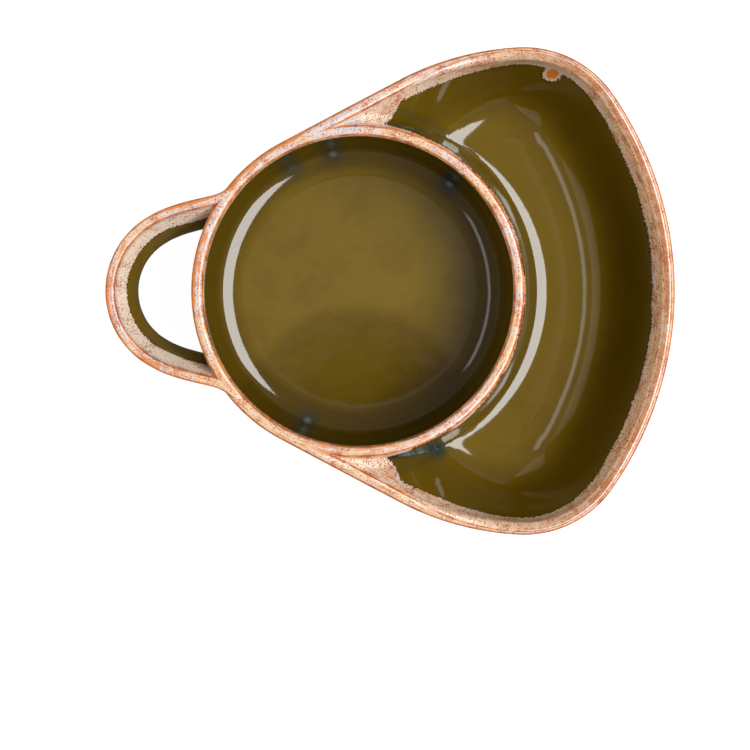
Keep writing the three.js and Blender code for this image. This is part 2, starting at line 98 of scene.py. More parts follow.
# Plan of the rim: cup arc, straight flank, shoulder, corner and far edge, y >= 0
def rimParts(p):
    far = Vector((p["trayReach"] - p["trayArc"], 0))
    aside = p["halfWidth"] - p["cornerArc"]
    corner = Vector((far.x + sqrt((p["trayArc"] - p["cornerArc"]) ** 2 - aside ** 2), aside))
    toFlank = p["cupRadius"] - p["cornerArc"] - p["shoulderSet"]
    turn = atan2(corner.y, corner.x) + acos(toFlank / corner.length)
    out = Vector((cos(turn), sin(turn)))
    ahead = Vector((out.y, -out.x))
    start = out * (p["cupRadius"] - p["shoulderArc"])
    gap = start - corner
    slide = gap.dot(ahead)
    run = -slide - sqrt(slide ** 2 - gap.length_squared + (p["shoulderArc"] - p["cornerArc"]) ** 2)
    shoulder = start + ahead * run
    turnB = atan2(corner.y - shoulder.y, corner.x - shoulder.x)
    turnC = atan2(corner.y - far.y, corner.x - far.x)
    return [  # length, centre or start, radius, direction of the outward normal
        (p["cupRadius"] * (pi - turn), Vector((0, 0)), p["cupRadius"], pi),
        (run, out * p["cupRadius"], None, turn),
        (p["shoulderArc"] * (turn - turnB), shoulder, p["shoulderArc"], turn),
        (p["cornerArc"] * (turnB - turnC), corner, p["cornerArc"], turnB),
        (p["trayArc"] * turnC, far, p["trayArc"], turnC),
    ]


rimLine = rimParts(plan)
halfRim = sum(part[0] for part in rimLine)
flareStart = cos(rimLine[1][3]) * plan["cupRadius"]
parting = sqrt(plan["cupRadius"] ** 2 - (plan["cupRadius"] - plan["wall"]) ** 2)


def rimAt(along):
    for length, base, radius, turn in rimLine:
        if along <= length + 1e-6:
            break
        along -= length
    if radius:
        out = Vector((cos(turn - along / radius), sin(turn - along / radius)))
        return base + out * radius, out
    out = Vector((cos(turn), sin(turn)))
    return base + Vector((out.y, -out.x)) * along, out


partX = rimAt(rimLine[0][0] + parting)[0].x
cornerX = rimLine[3][1].x


def cupRim(x):
    return plan["rim"] - plan["cupDrop"] * ease(x, partX, plan["cupRadius"])


def stationAt(along, side):
    point, out = rimAt(min(max(along, 0), halfRim))
    flare = ease(point.x, flareStart, plan["trayReach"])
    s = {
        "at": Vector((point.x, side * point.y)), "out": Vector((out.x, side * out.y)),
        "rim": plan["rim"] - plan["trayDrop"] * ease(point.x, partX, cornerX),
        "inset": mix(plan["cupInset"], plan["trayInset"], flare),
        "belly": mix(plan["cupBelly"], plan["trayBelly"], flare),
    }
    s["lipZ"] = s["rim"] - halfWall
    s["lipOut"], s["lipIn"] = outside(s, s["lipZ"]), inside(s, s["lipZ"])
    past = along - rimLine[0][0] - parting
    lean = mix(plan["flankLean"], plan["cornerLean"], ease(point.x, 0, cornerX))  # inside slopes to the cup
    s["lean"] = lean * ease(past, *plan["leanFade"]) * (1 - ease(point.x, cornerX, plan["trayReach"]))
    return s


def outside(s, z):
    return s["inset"] * max(1 - z / s["rim"], 0) ** s["belly"]


def slope(s, z):
    return s["inset"] * s["belly"] / s["rim"] * max(1 - z / s["rim"], 0) ** (s["belly"] - 1)


def inside(s, z):
    return outside(s, z) + plan["wall"] * hypot(1, slope(s, z))


def newPiece(name, bm, *nodes, material, slot):
    bmesh.ops.transform(bm, matrix=Matrix.Diagonal((0.001, 0.001, 0.001, 1))
                        @ Matrix.Translation((plan["axisX"], 0, 0)), verts=bm.verts)
    for face in bm.faces:
        face.smooth = True
    mesh = bpy.data.meshes.new(name)
    bm.to_mesh(mesh)
    bm.free()
    piece = bpy.data.objects.new(name, mesh)
    bpy.context.collection.objects.link(piece)
    mesh.materials.append(material)
    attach(piece, "root")
    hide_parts(*nodes)
    return piece


def gridOf(columns, rows, place, layers=()):  # place moves a point and gives its values in the layers
    bm = bmesh.new()
    keys = [bm.verts.layers.float.new(name) for name in layers]
    for v in bmesh.ops.create_grid(bm, x_segments=columns, y_segments=rows, size=0.5)["verts"]:
        values = place(v, round((v.co.x + 0.5) * columns), round((v.co.y + 0.5) * rows))
        for key, value in zip(keys, values):
            v[key] = value
    return bm


def closeUp(bm, reach=0.004):
    bmesh.ops.remove_doubles(bm, verts=bm.verts, dist=reach)
    bmesh.ops.dissolve_degenerate(bm, edges=bm.edges, dist=reach / 2)
    bmesh.ops.recalc_face_normals(bm, faces=bm.faces)


# Materials: each effect is a group that gives colours and masks
def newGroup(name, inputs, outputs):
    group = bpy.data.node_groups.new(name, "ShaderNodeTree")
    for socket, kind in inputs:
        group.interface.new_socket(socket, in_out="INPUT", socket_type=kind)
    for socket, kind in outputs:
        group.interface.new_socket(socket, in_out="OUTPUT", socket_type=kind)
    return group, group.nodes.new("NodeGroupInput").outputs, group.nodes.new("NodeGroupOutput").inputs


class Wires:  # short hands for adding nodes to one tree
    def __init__(self, tree):
        self.tree = tree

    def put(self, socket, value):
        if isinstance(value, bpy.types.NodeSocket):
            self.tree.links.new(value, socket)
        else:
            socket.default_value = value

    def math(self, operation, a, b=0.0, clamp=False):
        n = self.tree.nodes.new("ShaderNodeMath")
        n.operation, n.use_clamp = operation, clamp
        self.put(n.inputs[0], a)
        self.put(n.inputs[1], b)
        return n.outputs[0]

    def plus(self, a, b, clamp=False):
        return self.math("ADD", a, b, clamp)

    def minus(self, a, b):
        return self.math("SUBTRACT", a, b)

    def times(self, a, b, clamp=False):
        return self.math("MULTIPLY", a, b, clamp)

    def ramp(self, value, low, high, a=0.0, b=1.0):  # smooth step from low to high
        n = self.tree.nodes.new("ShaderNodeMapRange")
        n.interpolation_type = "SMOOTHSTEP"
        for k, v in enumerate((value, low, high, a, b)):
            self.put(n.inputs[k], v)
        return n.outputs[0]

    def blend(self, share, a, b):
        n = self.tree.nodes.new("ShaderNodeMix")
        n.data_type = "RGBA"
        self.put(n.inputs[0], share)
        self.put(n.inputs[6], a)  # 6, 7 and 2 are the node's colour sockets
        self.put(n.inputs[7], b)
        return n.outputs[2]

    def noise(self, vector, scale, detail=2.0, rough=0.5):
        n = self.tree.nodes.new("ShaderNodeTexNoise")
        self.put(n.inputs["Vector"], vector)
        n.inputs["Scale"].default_value = scale
        n.inputs["Detail"].default_value = detail
        n.inputs["Roughness"].default_value = rough
        return n.outputs["Fac"]

    def scaled(self, vector, factors):
        n = self.tree.nodes.new("ShaderNodeVectorMath")
        n.operation = "MULTIPLY"
        self.put(n.inputs[0], vector)
        n.inputs[1].default_value = factors
        return n.outputs[0]

    def apart(self, vector):
        n = self.tree.nodes.new("ShaderNodeSeparateXYZ")
        self.put(n.inputs[0], vector)
        return n.outputs

    def together(self, *values):
        n = self.tree.nodes.new("ShaderNodeCombineXYZ")
        for socket, value in zip(n.inputs, values):
            self.put(socket, value)
        return n.outputs[0]

    def distance(self, vector, point):
        n = self.tree.nodes.new("ShaderNodeVectorMath")
        n.operation = "DISTANCE"
        self.put(n.inputs[0], vector)
        n.inputs[1].default_value = point
        return n.outputs["Value"]

    def attribute(self, name):
        n = self.tree.nodes.new("ShaderNodeAttribute")
        n.attribute_name = name
        return n.outputs["Fac"]

    def use(self, group, **values):
        n = self.tree.nodes.new("ShaderNodeGroup")
        n.node_tree = group
        for name, value in values.items():
            self.put(n.inputs[name], value)
        return n.outputs


def rgb(r, g, b):  # screen colour, 0 to 255
    linear = [((c / 255 + 0.055) / 1.055) ** 2.4 if c > 10 else c / 255 / 12.92 for c in (r, g, b)]
    return (*linear, 1.0)


def oliveGroup():
    look = {
        "light": rgb(116, 93, 18), "dark": rgb(82, 62, 3), "brown": rgb(84, 58, 6),
        "teal": rgb(38, 52, 48), "pale": rgb(112, 128, 122),
        "mottle": 26.0, "cloud": 70.0, "fine": 900.0,  # per metre
    }
    group, gin, gout = newGroup(
        "oliveGlaze",
        [("Place", "NodeSocketVector"), ("Steep", "NodeSocketFloat"), ("Pool", "NodeSocketFloat")],
        [("Color", "NodeSocketColor")])
    w = Wires(group)
    mottle = w.noise(gin["Place"], look["mottle"], 3.0)
    cloud = w.noise(gin["Place"], look["cloud"], 4.0, 0.6)
    fine = w.noise(gin["Place"], look["fine"])
    # the olive runs from light to dark with this value: partly the glaze's tone, partly painted shade on
    # walls and in hollows
    toneAndShade = w.plus(gin["Steep"], w.times(w.minus(mottle, 0.5), 0.4), True)
    base = w.blend(toneAndShade, look["light"], look["dark"])
    base = w.blend(w.ramp(cloud, 0.46, 0.68, 0.0, 0.26), base, look["brown"])
    base = w.blend(w.ramp(fine, 0.5, 0.8, 0.0, 0.12), base, look["dark"])
    pool = w.times(gin["Pool"], w.ramp(mottle, 0.3, 0.62, 0.45, 1.0), True)
    deep = w.times(w.ramp(gin["Pool"], 0.8, 1.15), w.ramp(cloud, 0.42, 0.56))
    w.put(gout["Color"], w.blend(pool, base, w.blend(deep, look["teal"], look["pale"])))
    return group


# Cream glaze along the rim; m holds the noises and masks that its parts share
cream = {
    "plain": rgb(222, 195, 165), "lilac": rgb(214, 200, 195), "tan": rgb(216, 185, 156),
    # at the far right a warm pale colour lightens the inner band in the softbox's shade, painted light, and
    # the brown lip colour darkens the lip in its light, painted shade
    "blush": rgb(222, 188, 164), "white": rgb(242, 224, 204), "paintedLight": rgb(255, 208, 164),
    "lip": rgb(176, 126, 88), "veil": rgb(138, 132, 100), "rust": rgb(164, 80, 26),
    "orange": rgb(214, 124, 48), "brown": rgb(122, 66, 26), "spike": rgb(58, 28, 6),
    "bloom": rgb(206, 202, 208), "bloomAt": (-0.024, 0.0693, 0.055), "spiltAt": (-0.05, 0.061, 0.055),
    "drip": (0.0522, 0.0971, 0.0), "dripShape": (0.76, 1.05, 0.0), "dripRadius": 3.0,
    "cloud": 45.0, "wave": 60.0, "mottle": 160.0, "fine": 1350.0,  # noises, per metre
    "darkSpikes": 1300.0, "spikes": 1500.0, "hairs": 1700.0,
}


def raggedEdge(w, m, edge):  # lower edge of the cream, with a round run of it in the tray
    m["flat"] = w.scaled(m["place"], (1.0, 1.0, 0.22))  # spikes run down the wall
    wave = w.times(w.minus(w.noise(m["place"], cream["wave"], 3.0), 0.5), 5.0)
    length = w.ramp(w.math("ABSOLUTE", w.plus(m["rim"], -1.0)), 4.0, 6.0, 2.8, 5.5)
    spike = w.times(w.minus(w.noise(m["flat"], cream["spikes"], 2.0, 0.6), 0.5), length)
    run = w.distance(w.scaled(m["place"], cream["dripShape"]), cream["drip"])
    run = w.minus(w.times(run, 1000.0), cream["dripRadius"])
    run = w.plus(run, w.ramp(m["rim"], -1.0, 0.0, 0.0, 9.0))  # inside only
    m["run"] = w.plus(run, w.times(spike, 0.5))
    m["edge"] = w.math("MINIMUM", w.plus(edge, w.plus(wave, spike)), m["run"])


def innerCream(w, m, web):  # top of the rim and the band inside it
    color = w.blend(w.ramp(m["cloud"], 0.4, 0.62), cream["plain"], cream["lilac"])
    inner = w.times(w.ramp(m["rim"], -4.2, -5.2), w.ramp(m["edge"], -0.6, -3.4))
    # painted light and shade at the far right: the shaded inner band is lightened, the lit lip darkened
    far = w.times(w.ramp(m["x"], 0.05, 0.11), w.ramp(m["rim"], -7.5, -10.0))
    lip = w.times(w.ramp(m["x"], 0.03, 0.09), w.ramp(m["rim"], -10.0, -8.0))
    band = w.blend(lip, w.blend(far, cream["tan"], cream["paintedLight"]), cream["lip"])
    color = w.blend(w.times(inner, w.ramp(m["mottle"], 0.3, 0.55, 0.6, 1.0)), color, band)
    stain = w.ramp(w.plus(m["mottle"], w.times(m["streak"], 0.5)), 0.74, 0.98, 0.0, 0.6)
    color = w.blend(stain, color, cream["rust"])
    worn = w.times(w.ramp(m["streak"], 0.44, 0.64), w.ramp(m["x"], 0.03, 0.1, 0.1, 0.45))
    color = w.blend(w.times(inner, worn), color, cream["rust"])
    color = w.blend(w.math("MAXIMUM", web, 0.0), color, cream["white"])
    dots = w.times(inner, w.ramp(m["fine"], 0.54, 0.66, 0.0, 0.75))
    return w.blend(w.times(dots, w.ramp(m["mottle"], 0.35, 0.6, 0.35, 1.0)), color, cream["brown"])


def outerCream(w, m, color):  # outside the rim: streaked, paler towards the spikes
    outer = w.ramp(m["rim"], 3.0, 5.0)
    washed = w.blend(w.ramp(m["edge"], -4.0, -1.0), cream["blush"], cream["white"])
    streaks = w.times(w.ramp(m["streak"], 0.42, 0.66), w.ramp(m["edge"], -1.0, -5.0, 0.1, 0.75))
    color = w.blend(outer, color, w.blend(streaks, washed, cream["orange"]))
    hairs = w.ramp(w.noise(m["flat"], cream["hairs"]), 0.52, 0.62, 0.0, 0.85)
    hairs = w.times(w.ramp(m["edge"], -2.6, -0.2), hairs)
    return w.blend(w.times(hairs, outer), color, cream["brown"])


def rimMarks(w, m, color):  # specks, drawn lines and patches
    fromRidge = w.math("ABSOLUTE", m["rim"])
    specks = w.ramp(w.plus(m["fine"], w.times(m["mottle"], 0.35)), 0.72, 0.8, 0.0, 0.9)
    color = w.blend(w.times(specks, w.ramp(m["rim"], 3.0, 5.0, 1.0, 0.5)), color, cream["rust"])
    drawn = w.times(w.ramp(m["streak"], 0.5, 0.62), w.ramp(fromRidge, 4.2, 3.2))
    color = w.blend(w.times(drawn, 0.7), color, cream["orange"])
    spilt = w.plus(m["rim"], w.times(w.minus(m["cloud"], 0.5), 14.0))  # outer half, in places
    spilt = w.plus(spilt, w.ramp(w.distance(m["place"], cream["spiltAt"]), 0.032, 0.018, 0.0, 2.5))
    spilt = w.times(w.ramp(spilt, 1.6, 2.6, 0.0, 0.85), w.ramp(m["rim"], 4.6, 3.4))
    color = w.blend(w.times(w.ramp(m["rim"], 0.0, 0.8), spilt), color, cream["orange"])
    bloom = w.times(w.distance(m["place"], cream["bloomAt"]), 1000.0)  # a bluish patch of glaze
    bloom = w.ramp(w.plus(bloom, w.times(m["mottle"], 16.0)), 21.0, 17.0, 0.0, 0.75)
    color = w.blend(w.times(bloom, w.ramp(m["fine"], 0.6, 0.5)), color, cream["bloom"])
    line = w.math("ABSOLUTE", w.minus(fromRidge, 2.5))
    line = w.times(w.ramp(line, 1.0, 0.4), w.ramp(m["streak"], 0.3, 0.46))
    color = w.blend(line, color, w.blend(w.ramp(m["mottle"], 0.38, 0.6), cream["orange"], cream["rust"]))
    shoulder = w.ramp(w.plus(m["rim"], w.times(m["mottle"], 2.4)), 7.0, 5.0)
    shoulder = w.times(w.ramp(m["rim"], 1.5, 2.2), shoulder)
    return w.blend(shoulder, color, w.blend(w.ramp(m["mottle"], 0.4, 0.68), cream["orange"], cream["rust"]))


def rimGroup():
    group, gin, gout = newGroup(
        "rimGlaze",
        [("Place", "NodeSocketVector"), ("Along", "NodeSocketFloat"), ("Edge", "NodeSocketFloat"),
         ("Rim", "NodeSocketFloat"), ("Web", "NodeSocketFloat"), ("Base", "NodeSocketColor")],
        [("Color", "NodeSocketColor"), ("Cover", "NodeSocketFloat")])
    w = Wires(group)
    place, edge, web = gin["Place"], gin["Edge"], gin["Web"]
    x, y, _ = w.apart(place)
    drawnOut = w.together(w.times(gin["Along"], 0.14), w.times(gin["Rim"], 1.5), w.times(y, 22.0))
    m = {
        "place": place, "rim": gin["Rim"], "x": x, "streak": w.noise(drawnOut, 1.0, 3.0, 0.6),
        "cloud": w.noise(place, cream["cloud"], 3.0), "mottle": w.noise(place, cream["mottle"], 4.0, 0.65),
        "fine": w.noise(place, cream["fine"], 2.0, 0.6),
    }
    raggedEdge(w, m, edge)
    color = rimMarks(w, m, outerCream(w, m, innerCream(w, m, web)))
    ring = w.times(w.ramp(m["run"], 0.6, 0.0), w.ramp(edge, -3.0, -1.5))  # round the run in the tray
    color = w.blend(ring, color, w.blend(w.ramp(m["run"], -0.6, -1.3), cream["plain"], cream["orange"]))
    spikes = w.ramp(w.noise(m["flat"], cream["darkSpikes"], 1.0), 0.32, 0.5)
    spikes = w.times(w.ramp(m["edge"], 1.2, 0.3), spikes)
    veil = w.times(w.ramp(web, 0.0, -1.0), w.ramp(m["edge"], 13.0, 0.0, 0.0, 0.7))  # thin glaze in the cup
    under = w.blend(veil, w.blend(spikes, gin["Base"], cream["spike"]), cream["veil"])
    cover = w.ramp(m["edge"], 0.15, -0.15)
    w.put(gout["Color"], w.blend(cover, under, color))
    w.put(gout["Cover"], cover)
    return group


def newMaterial(name, roughness, ior):
    material = bpy.data.materials.new(name)
    material.use_nodes = True
    w = Wires(material.node_tree)
    shader = material.node_tree.nodes["Principled BSDF"]
    shader.inputs["Roughness"].default_value = roughness
    shader.inputs["IOR"].default_value = ior
    place = material.node_tree.nodes.new("ShaderNodeTexCoord").outputs["Object"]
    return material, w, shader, place


def bumpOf(w, shader, height, strength, distance):
    n = w.tree.nodes.new("ShaderNodeBump")
    n.inputs["Strength"].default_value = strength
    n.inputs["Distance"].default_value = distance
    w.put(n.inputs["Height"], height)
    w.put(shader.inputs["Normal"], n.outputs["Normal"])


def glazeMaterial(olive, rim):
    material, w, shader, place = newMaterial("glaze", 0.08, 1.56)
    base = w.use(olive, Place=place, Steep=w.attribute("toneAndShade"), Pool=w.attribute("pool"))["Color"]
    band = w.use(rim, Place=place, Along=w.attribute("along"), Edge=w.attribute("edge"),
                 Rim=w.attribute("rim"), Web=w.attribute("web"), Base=base)
    w.put(shader.inputs["Base Color"], band["Color"])
    w.put(shader.inputs["Roughness"], w.ramp(band["Cover"], 0.0, 1.0, 0.07, 0.22))
    bumpOf(w, shader, w.noise(place, 120.0, 2.0), 0.04, 0.0008)
    return material


def sprigMaterial(olive):
    look = {"amber": rgb(150, 112, 42), "rust": rgb(140, 88, 44), "pit": rgb(60, 44, 8)}
    material, w, shader, place = newMaterial("sprigGlaze", 0.1, 1.56)
    base = w.use(olive, Place=place, Steep=0.45, Pool=w.attribute("pool"))["Color"]
    wear = w.ramp(w.noise(place, 240.0, 3.0), 0.25, 0.6, 0.45, 1.0)
    base = w.blend(w.times(w.attribute("thin"), wear, True), base, look["amber"])
    base = w.blend(w.times(w.attribute("berry"), wear, True), base, look["rust"])
    base = w.blend(w.attribute("pit"), base, look["pit"])
    w.put(shader.inputs["Base Color"], base)
    bumpOf(w, shader, w.noise(place, 700.0, 2.0), 0.1, 0.0003)
    return material


def clayMaterial():
    look = {"pale": rgb(206, 170, 132), "rust": rgb(150, 92, 52), "grain": 1600.0}
    material, w, shader, place = newMaterial("bareClay", 0.8, 1.5)
    grain = w.noise(place, look["grain"], 3.0, 0.6)
    patch = w.noise(place, 90.0, 3.0)
    base = w.blend(w.ramp(patch, 0.4, 0.65), look["pale"], look["rust"])
    w.put(shader.inputs["Base Color"], w.blend(w.ramp(grain, 0.55, 0.75, 0.0, 0.5), base, look["rust"]))
    bumpOf(w, shader, grain, 0.5, 0.0003)
    return material


olive = oliveGroup()
glaze = glazeMaterial(olive, rimGroup())
sprigGlaze = sprigMaterial(olive)
bareClay = clayMaterial()
glazeLayers = ("along", "edge", "rim", "web", "toneAndShade", "pool")  # values that the glaze reads
print("materials made")

# Where the sprigs lie, as a share of the way from behind the handle to the tip and a rise on the wall
sprigs = {
    "height": 20.974, "vine": (0.85, 0.85), "stem": (0.6, 0.65), "berry": (2.3, 0.8),  # half width, relief
    "star": (12.5, 5.3, 1.2),  # to its tips and notches, relief
    "lineFoot": 0.45, "berryFoot": 0.3, "starFoot": 0.75,  # how far glaze spreads each one's foot
    "grid": 0.6, "margin": 2.2, "sink": 0.35, "thickness": 0.7, "underStar": 0.4,
    "seam": 0.25,  # half the gap between the two sides' vines behind the handle
    "middle": (25.0, 0.0),  # a place well inside the bowl
    "unripe": 2, "unripeRust": 0.15,  # the first pairs are nearly as green as the wall
    "stars": [(0.344, 0.0, -5), (0.558, 0.0, 7), (0.728, -3.5, -4), (1.0, -3.5, 0)],
    "bays": [
        [[(0.004, -5.4), (0.035, -3.4), (0.064, -1.2), (0.135, 6.8), (0.175, 9.2), (0.208, 7.2), (0.243, 2),
          (0.317, -8.5), (0.344, 0)],
         [(0.004, -1.4), (0.035, -3.4), (0.059, -5.4), (0.099, -9.5), (0.144, -10.5), (0.185, -8),
          (0.243, 1.2), (0.307, 7), (0.344, 0)]],
        [[(0.344, 0), (0.377, 5.6), (0.444, 3), (0.472, 3), (0.522, 2.8), (0.558, 0)],
         [(0.344, 0), (0.365, -7), (0.425, -5.2), (0.494, -9.4), (0.539, -8), (0.558, 0)]],
        [[(0.558, 0), (0.586, 0.4), (0.605, -4.6), (0.627, -11), (0.671, -13.6), (0.694, -8.5),
          (0.728, -3.5)],
         [(0.558, 0), (0.58, -7), (0.605, -5), (0.636, -3), (0.684, -2.2), (0.728, -3.5)]],
        [[(0.728, -3.5), (0.76, -9.5), (0.81, -9), (0.865, -3.5), (0.93, 1), (1, -3.5)],
         [(0.728, -3.5), (0.76, 2), (0.81, 2), (0.865, -3.5), (0.93, -8.4), (1, -3.5)]],
    ],
    "pairs": [  # root, the two berries from there, where the second stem forks off
        ((0.1755, 10.0), (-7.4, 7.4), (0.6, 9.0), 0.15), ((0.281, 6.4), (-12.1, 11.4), (-3.9, 13), 0.35),
        ((0.23, -2.6), (-7.6, -11), (1.5, -11.2), 0), ((0.446, 4.2), (-13, 12.6), (-5.1, 13.2), 0.4),
        ((0.669, -14.6), (-26, 0.6), (-20.4, -4.4), 0.5), ((0.81, 3.2), (-9, 10.4), (-2, 12), 0.35),
    ],
    "tendrils": [(0.479, -9.6), (0.945, -9.4)],
    "hook": [(0, 0), (-4.6, -1.6), (-9.4, -2.7), (-11.1, -4.9), (-9.4, -6.9), (-7.2, -5.8), (-7.0, -3.8),
             (-8.4, -2.8)],
    "tail": [(-10.4, -6.4), (-13.2, -6.8), (-16, -7.8)],
}


def girthTable(steps=1200):  # way along the rim, and along the sprigs' line below it
    alongs, girth, last = [], [0.0], None
    for k in range(steps + 1):
        s = stationAt(halfRim * k / steps, 1)
        p = s["at"] - s["out"] * outside(s, sprigs["height"])
        if last:
            girth.append(girth[-1] + (p - last).length)
        alongs.append(halfRim * k / steps)
        last = p
    return alongs, girth


rimAlongs, girths = girthTable()
halfGirth = girths[-1]


def onWall(along, rise, lift, side):
    past = along > halfGirth
    within = abs(2 * halfGirth - along if past else along)
    s = stationAt(table(girths, rimAlongs, within), -side if past or along < 0 else side)
    z = sprigs["height"] + rise / hypot(1, slope(s, sprigs["height"]))
    lean = slope(s, z)
    reach = hypot(1, lean)
    p = s["at"] - s["out"] * (outside(s, z) - lift / reach)
    return Vector((p.x, p.y, z - lift * lean / reach))


def smoothLine(points, step=0.25):  # a spline through the points, as close flat points
    line = []
    for k in range(len(points) - 1):
        a, b, c, d = (points[min(max(k + n, 0), len(points) - 1)] for n in (-1, 0, 1, 2))
        count = max(int((c - b).length / step), 2)
        for n in range(count):
            t = n / count
            line.append(0.5 * (2 * b + (c - a) * t + (2 * a - 5 * b + 4 * c - d) * t * t
                               + (3 * b - a - 3 * c + d) * t ** 3))
    return line + [points[-1]]


def flatPoints(points):
    return [Vector((share * halfGirth, rise)) for share, rise in points]


def insideStar(corners, p):  # distance inside the outline, negative outside
    best, within = 1e9, False
    for k, a in enumerate(corners):
        b = corners[k - 1]
        side = b - a
        t = min(max((p - a).dot(side) / side.length_squared, 0), 1)
        best = min(best, (p - a - side * t).length)
        if (a.y > p.y) != (b.y > p.y) and p.x < (b.x - a.x) * (p.y - a.y) / (b.y - a.y) + a.x:
            within = not within
    return best if within else -best


class Raised:  # a flat drawing of lines, berries and stars, and its height on the wall
    def __init__(self):
        self.lines, self.berries, self.stars, self.points, self.ripe = [], [], [], [], 1.0

    def line(self, points, size):
        path = smoothLine(points)
        self.lines.append((treeOf(path), size))
        self.points += path

    def berry(self, at):
        self.berries.append(at)
        reach = sprigs["berry"][0] + 0.2
        self.points += [at + Vector((x, y)) * reach for x, y in ((1, 0), (-1, 0), (0, 1), (0, -1))]

    def star(self, share, rise, tilt):
        middle = Vector((share * halfGirth, rise))
        tip, notch, _ = sprigs["star"]
        corners = []
        for n in range(10):
            a, r = pi / 2 + radians(tilt) + n * pi / 5, notch if n % 2 else tip
            corners.append(middle + Vector((cos(a), sin(a))) * r)
        self.stars.append(corners)
        self.points += corners

    def at(self, p):  # height, thin glaze, berry and pit
        low = -sprigs["sink"]
        height, thin, berry, pit = low, 0.0, 0.0, 0.0
        for tree, (half, relief) in self.lines:
            d = tree.find((p.x, p.y, 0))[2] / (half + sprigs["lineFoot"])
            h = low + (relief - low) * (0.5 + 0.5 * cos(pi * min(d, 1)))
            thin = max(thin, ease(1 - d, 0.2, 0.75))
            height = softMax(height, h, 0.25 if h > low else 0)
        for centre in self.berries:
            radius, relief = sprigs["berry"]
            d = (p - centre).length / (radius + sprigs["berryFoot"])
            if d < 1:
                h = low + (relief - low) * sqrt(1 - d ** 2.6) - 0.55 * bell(d, 0, 0.28)
                height = softMax(height, h, 0.3)
                berry = max(berry, self.ripe * ease(1 - d, 0.05, 0.35))
                pit = max(pit, 0.55 * bell(d, 0, 0.22))
        for corners in self.stars:
            d = insideStar(corners, p)
            full = ease(d, -sprigs["starFoot"], sprigs["starFoot"])
            h = low + (sprigs["star"][2] - low) * full - 0.25 * ease(d, 0.7, 2.6)
            thin = max(thin, bell(d, 0.35, 0.55), 0.18 * ease(d, 0.5, 2))
            height = softMax(height, h, 0.25 if h > low else 0)
        return height, thin, berry, pit


def sprigDrawings():
    drawn = {}
    for n, (share, rise, tilt) in enumerate(sprigs["stars"]):
        raised = Raised()
        raised.star(share, rise, tilt)
        drawn["star_tip" if share == 1 else f"star_side_{n + 1}"] = raised
    for n, bay in enumerate(sprigs["bays"]):
        both = [Raised(), Raised()] if n == 1 else [Raised()] * 2  # only the second bay's strands don't cross
        for raised, points in zip(both, bay):
            raised.line(flatPoints(points), sprigs["vine"])
        if n == 1:
            drawn["vine_side_2_upper"], drawn["vine_side_2_lower"] = both
        else:
            drawn[f"vine_side_{n + 1}"] = both[0]
    for n, (root, first, second, fork) in enumerate(sprigs["pairs"]):
        raised, start = Raised(), flatPoints([root])[0]
        ends = [start + Vector(first), start + Vector(second)]
        raised.line([start, ends[0]], sprigs["stem"])
        raised.line([start.lerp(ends[0], fork), ends[1]], sprigs["stem"])
        for end in ends:
            raised.berry(end)
        raised.ripe = sprigs["unripeRust"] if n < sprigs["unripe"] else 1.0
        drawn[f"berries_side_{n + 1}"] = raised
    for n, root in enumerate(sprigs["tendrils"]):
        raised, start = Raised(), flatPoints([root])[0]
        for part in ("hook", "tail"):
            raised.line([start + Vector(p) for p in sprigs[part]], sprigs["stem"])
        drawn[f"tendril_side_{n + 1}"] = raised
    return drawn


drawings = sprigDrawings()
starOutlines = [corners for raised in drawings.values() for corners in raised.stars]


def sprigPiece(name, raised, side):
    margin, isStar = sprigs["margin"], name.startswith("star")
    low = Vector((min(p.x for p in raised.points) - margin, min(p.y for p in raised.points) - margin))
    high = Vector((max(p.x for p in raised.points) + margin, max(p.y for p in raised.points) + margin))
    if not isStar and low.x < 0:
        low.x = sprigs["seam"]
    columns, rows = (max(int((high[n] - low[n]) / sprigs["grid"]), 4) for n in (0, 1))
    shown = set()

    def place(v, column, row):
        p = Vector((mix(low.x, high.x, column / columns), mix(low.y, high.y, row / rows)))
        height, thin, berry, pit = raised.at(p)
        if not isStar and max(insideStar(corners, p) for corners in starOutlines) > sprigs["underStar"]:
            height = -sprigs["sink"]  # vines run in under the stars
        v.co = onWall(p.x, p.y, height, side)
        if height > -sprigs["sink"] + 0.02:
            shown.add(v)
        return thin, berry, pit, 0.6 * ease(0.5 - height, 0, 1)

    bm = gridOf(columns, rows, place, ("thin", "berry", "pit", "pool"))
    bmesh.ops.delete(bm, geom=[f for f in bm.faces if not shown.intersection(f.verts)], context="FACES")
    bmesh.ops.recalc_face_normals(bm, faces=bm.faces)
    largest = max(bm.faces, key=lambda f: f.calc_area())
    if largest.normal.xy.dot(largest.calc_center_median().xy - Vector(sprigs["middle"])) < 0:
        bmesh.ops.reverse_faces(bm, faces=bm.faces)
    bmesh.ops.solidify(bm, geom=bm.faces[:], thickness=sprigs["thickness"])
    bmesh.ops.recalc_face_normals(bm, faces=bm.faces)
    newPiece(name.replace("_", "."), bm, name, material=sprigGlaze, slot="sprig_glaze")


for name, raised in drawings.items():
    if "side" in name:
        for sideName, side in (("front", -1), ("back", 1)):
            sprigPiece(name.replace("side", sideName), raised, side)
    else:
        sprigPiece(name, raised, 1)
print("sprigs made")

# Bowl: one skin from the cup's floor over both rims and down the outside to the underside
bowl = {
    "columns": 460, "cupRows": 58, "trayRows": 76, "lipRows": 10, "wallRows": 36,
    "closer": (20.0, 75.0, 25.0, 2.4),  # columns stand closer past the cup's arc: from, to, fade, how much
    "cupFlat": 50.0, "cupCove": 23.0, "cupReach": 63.9, "cupBlend": 3.0,
    "below": 12.0,  # the cup wall's curve is carried on below the floor, to blend with it
    "trayFlat": 84.0, "trayCove": 24.0, "trayBlend": 4.0,
    "dividerSpread": 7.2, "dividerBelly": 1.5, "dividerBlend": 1.5,
    "wallRun": 13.0, "wallCove": 34.0, "wallBlend": 2.0, "skirt": 0.9, "underside": (28.0, 0.0),
}

